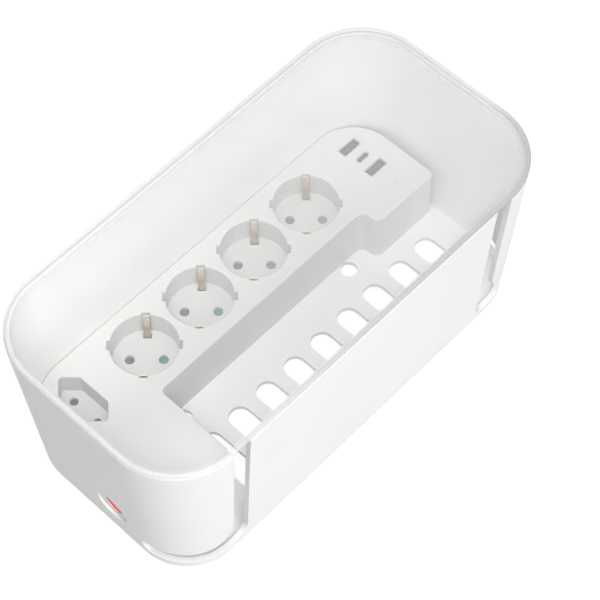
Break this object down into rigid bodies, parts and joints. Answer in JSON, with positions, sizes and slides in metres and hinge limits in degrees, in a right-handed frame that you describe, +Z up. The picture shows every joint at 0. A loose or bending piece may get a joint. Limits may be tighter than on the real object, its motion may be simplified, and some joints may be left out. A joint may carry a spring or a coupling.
{
  "type": "cable management box",
  "caption": "White desk box with leaning walls, clear lift-off lid, inner deck of round earthed sockets, flat-plug socket and USB ports, rocker switch, slotted floor and corner cable slots.",
  "frame": {"origin": "middle of the footprint, on the plane that the rubber feet stand on", "axes": "+X along the box towards the USB ports, -Y towards the near wall with the cable slots, +Z up"},
  "size_m": [0.2894, 0.148, 0.1231],
  "materials": {
    "white_shell": "satin moulded",
    "white_cover": "fine matt moulded",
    "clear_lid": "clear, faintly hazy",
    "red_clear": "clear red",
    "grey_rubber": "matt",
    "brass_strip": "rolled, bright",
    "steel_plate": "nickel plated",
    "spring_steel": "drawn wire",
    "black_plastic": "moulded",
    "grey_plastic": "moulded",
    "green_grey_plastic": "moulded",
    "board_green": "solder mask",
    "can_aluminium": "drawn",
    "winding_amber": "taped winding",
    "brown_wire": "extruded",
    "blue_wire": "extruded",
    "earth_wire": "extruded",
    "lamp_clear": "clear"
  },
  "bodies": {
    "box": {"tub": "white_shell", "rubber_feet": "grey_rubber", "socket_cover": "white_cover", "contact_tray": "white_cover", "live_bar": "brass_strip", "neutral_bar": "brass_strip", "earth_bar": "brass_strip", "switch_housing": "white_shell", "switch_pivot": "steel_plate", "switch_lamp": "lamp_clear", "switch_terminals": "brass_strip", "power_board": "board_green", "board_screws": "steel_plate", "usb_port_1": "steel_plate", "usb_port_2": "steel_plate", "usb_port_3": "steel_plate", "usb_tongues": "black_plastic", "transformer": "winding_amber", "board_capacitors": "can_aluminium", "board_chips": "black_plastic", "cover_screws": "steel_plate", "mains_gland": "black_plastic", "gland_nut": "black_plastic", "terminal_block": "white_cover", "live_lead": "brown_wire", "switched_lead": "brown_wire", "neutral_lead": "blue_wire", "earth_lead": "earth_wire", "board_leads": "blue_wire", "euro_spring": "spring_steel", "earth_clip_1": "brass_strip", "shutter_spring_1": "spring_steel", "earth_clip_2": "brass_strip", "shutter_spring_2": "spring_steel", "earth_clip_3": "brass_strip", "shutter_spring_3": "spring_steel", "earth_clip_4": "brass_strip", "shutter_spring_4": "spring_steel"},
    "lid": {"lid": "clear_lid"},
    "rocker": {"switch_rocker": "red_clear"},
    "shutter_body_1": {"shutter_1": "grey_plastic"},
    "shutter_body_2": {"shutter_2": "green_grey_plastic"},
    "shutter_body_3": {"shutter_3": "grey_plastic"},
    "shutter_body_4": {"shutter_4": "green_grey_plastic"},
    "euro_shutter_body": {"euro_shutter": "grey_plastic"}
  },
  "joints": [
    {"name": "lid_lift", "type": "slide", "parent": "box", "child": "lid", "axis": [0, 0, 1], "range_m": [0, 0.06]},
    {"name": "rocker_tilt", "type": "hinge", "parent": "box", "child": "rocker", "pos_m": [-0.13437, -0.0123, 0.02808], "axis": [-0.0618, 0, 0.9981], "range_deg": [0, 8]},
    {"name": "shutter_slide_1", "type": "slide", "parent": "box", "child": "shutter_body_1", "axis": [0.6959, -0.7181, 0], "range_m": [0, 0.0056], "stiffness_N_per_m": 40, "springref_m": -0.004, "deforming": ["shutter_spring_1"]},
    {"name": "shutter_slide_2", "type": "slide", "parent": "box", "child": "shutter_body_2", "axis": [0.6959, -0.7181, 0], "range_m": [0, 0.0056], "stiffness_N_per_m": 40, "springref_m": -0.004, "deforming": ["shutter_spring_2"]},
    {"name": "shutter_slide_3", "type": "slide", "parent": "box", "child": "shutter_body_3", "axis": [0.6959, -0.7181, 0], "range_m": [0, 0.0056], "stiffness_N_per_m": 40, "springref_m": -0.004, "deforming": ["shutter_spring_3"]},
    {"name": "shutter_slide_4", "type": "slide", "parent": "box", "child": "shutter_body_4", "axis": [0.6959, -0.7181, 0], "range_m": [0, 0.0056], "stiffness_N_per_m": 40, "springref_m": -0.004, "deforming": ["shutter_spring_4"]},
    {"name": "euro_shutter_slide", "type": "slide", "parent": "box", "child": "euro_shutter_body", "axis": [0, -1, 0], "range_m": [0, 0.0056], "stiffness_N_per_m": 40, "springref_m": -0.004, "deforming": ["euro_spring"]}
  ]
}
